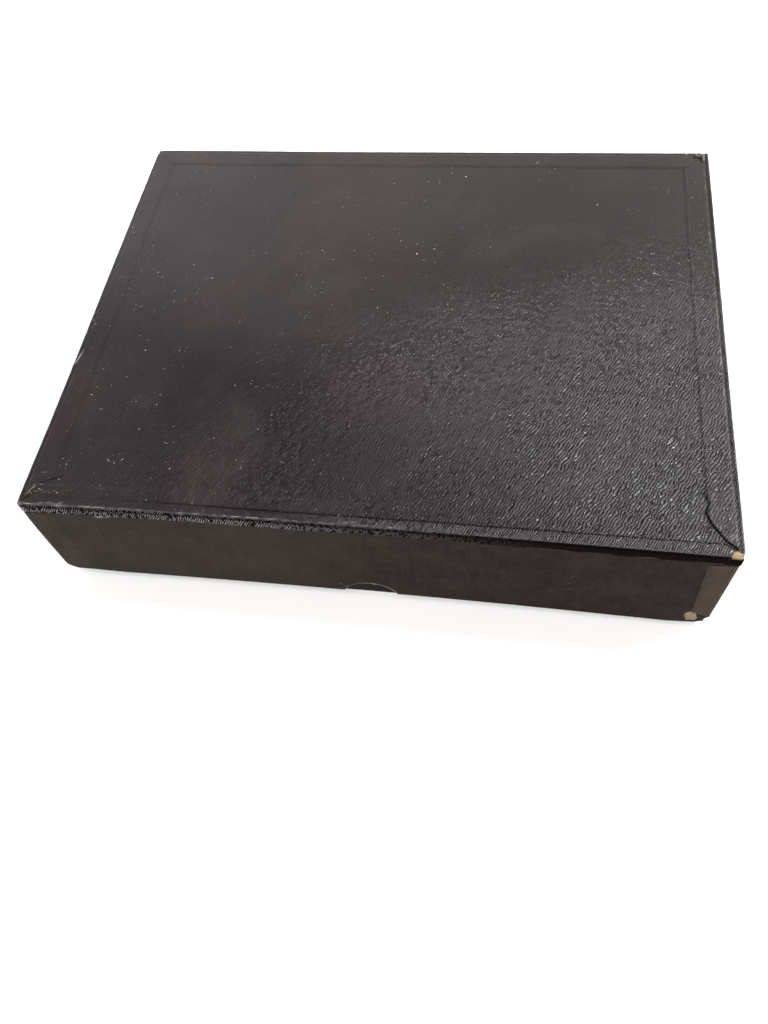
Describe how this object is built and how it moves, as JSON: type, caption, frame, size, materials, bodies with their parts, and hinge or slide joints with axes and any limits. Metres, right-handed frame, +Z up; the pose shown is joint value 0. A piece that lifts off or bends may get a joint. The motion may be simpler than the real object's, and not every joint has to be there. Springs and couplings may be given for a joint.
{
  "type": "lidded storage box",
  "caption": "Shallow rectangular box covered in dark grained leatherette, with a full-depth lift-off lid, mitred edging and a half-round thumb cut at the front.",
  "frame": {"origin": "centre of the footprint, on the surface that the base stands on", "axes": "+X along the long side to the right, -Y towards the front with the thumb cut, +Z up"},
  "size_m": [0.254, 0.2032, 0.056],
  "materials": {
    "grained_panel": "dark brown-black grained leatherette, semi-gloss, dusty and scuffed",
    "grained_edging": "grained leatherette strip, semi-gloss, scuffed along the edges",
    "wall_cover": "smooth dark brown covering paper, matte",
    "strawboard": "raw tan strawboard",
    "gummed_tape": "brown gummed kraft tape",
    "lining_paper": "plain cream lining paper, slightly foxed"
  },
  "bodies": {
    "base": {"base_back_board": "strawboard", "base_back_cover": "wall_cover", "base_back_lining": "lining_paper", "base_bottom_board": "strawboard", "base_bottom_cover": "wall_cover", "base_corner_stay_bl": "gummed_tape", "base_corner_stay_br": "gummed_tape", "base_corner_stay_fl": "gummed_tape", "base_corner_stay_fr": "gummed_tape", "base_floor_lining": "lining_paper", "base_front_board": "strawboard", "base_front_cover": "wall_cover", "base_front_lining": "lining_paper", "base_left_board": "strawboard", "base_left_cover": "wall_cover", "base_left_lining": "lining_paper", "base_right_board": "strawboard", "base_right_cover": "wall_cover", "base_right_lining": "lining_paper"},
    "lid": {"lid_back_board": "strawboard", "lid_back_cover": "wall_cover", "lid_back_edging": "grained_edging", "lid_back_lining": "lining_paper", "lid_corner_stay_bl": "gummed_tape", "lid_corner_stay_br": "gummed_tape", "lid_corner_stay_fl": "gummed_tape", "lid_corner_stay_fr": "gummed_tape", "lid_front_board": "strawboard", "lid_front_cover": "wall_cover", "lid_front_edging": "grained_edging", "lid_front_lining": "lining_paper", "lid_left_board": "strawboard", "lid_left_cover": "wall_cover", "lid_left_edging": "grained_edging", "lid_left_lining": "lining_paper", "lid_right_board": "strawboard", "lid_right_cover": "wall_cover", "lid_right_edging": "grained_edging", "lid_right_lining": "lining_paper", "lid_top_board": "strawboard", "lid_top_cover": "grained_panel", "lid_top_lining": "lining_paper"}
  },
  "joints": [
    {"name": "lid_lift", "type": "slide", "parent": "base", "child": "lid", "axis": [0, 0, 1], "range_m": [0, 0.09]}
  ]
}
